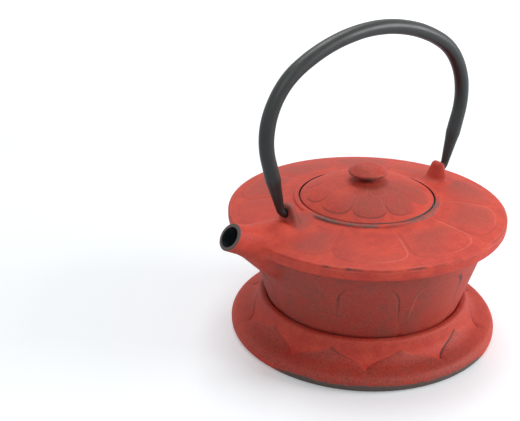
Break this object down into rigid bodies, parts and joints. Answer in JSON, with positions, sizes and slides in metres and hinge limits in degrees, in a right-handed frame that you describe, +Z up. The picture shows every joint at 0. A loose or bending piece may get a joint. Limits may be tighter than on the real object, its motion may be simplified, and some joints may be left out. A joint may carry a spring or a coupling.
{
  "type": "cast iron teapot",
  "caption": "Low round cast iron teapot with a wide brim, short spout, bail handle and lidded mesh basket, nested in a flared stand.",
  "frame": {"origin": "middle of the stand's foot ring on the table", "axes": "+Z up, +X along the spout, the upright handle lies in the XZ plane"},
  "size_m": [0.2008, 0.18, 0.207],
  "materials": {
    "red_iron": "matt red lacquer, rubbed back on raised edges",
    "dark_iron": "satin charcoal",
    "basket_steel": "satin stainless",
    "basket_mesh": "fine woven stainless mesh"
  },
  "bodies": {
    "stand": {"stand": "red_iron"},
    "pot": {"pot_body": "red_iron"},
    "infuser": {"infuser_rim": "basket_steel", "infuser_wall": "basket_mesh", "infuser_base": "basket_mesh"},
    "lid": {"lid": "red_iron", "lid_knob": "red_iron", "knob_washer": "basket_steel"},
    "handle": {"handle": "dark_iron"}
  },
  "joints": [
    {"name": "pot_lift", "type": "slide", "parent": "stand", "child": "pot", "axis": [0, 0, 1], "range_m": [0, 0.06]},
    {"name": "infuser_lift", "type": "slide", "parent": "pot", "child": "infuser", "axis": [0, 0, 1], "range_m": [0, 0.06]},
    {"name": "lid_lift", "type": "slide", "parent": "infuser", "child": "lid", "axis": [0, 0, 1], "range_m": [0, 0.05]},
    {"name": "handle_swing", "type": "hinge", "parent": "pot", "child": "handle", "pos_m": [0, 0, 0.09685], "axis": [1, 0, 0], "range_deg": [-96, 96]}
  ]
}
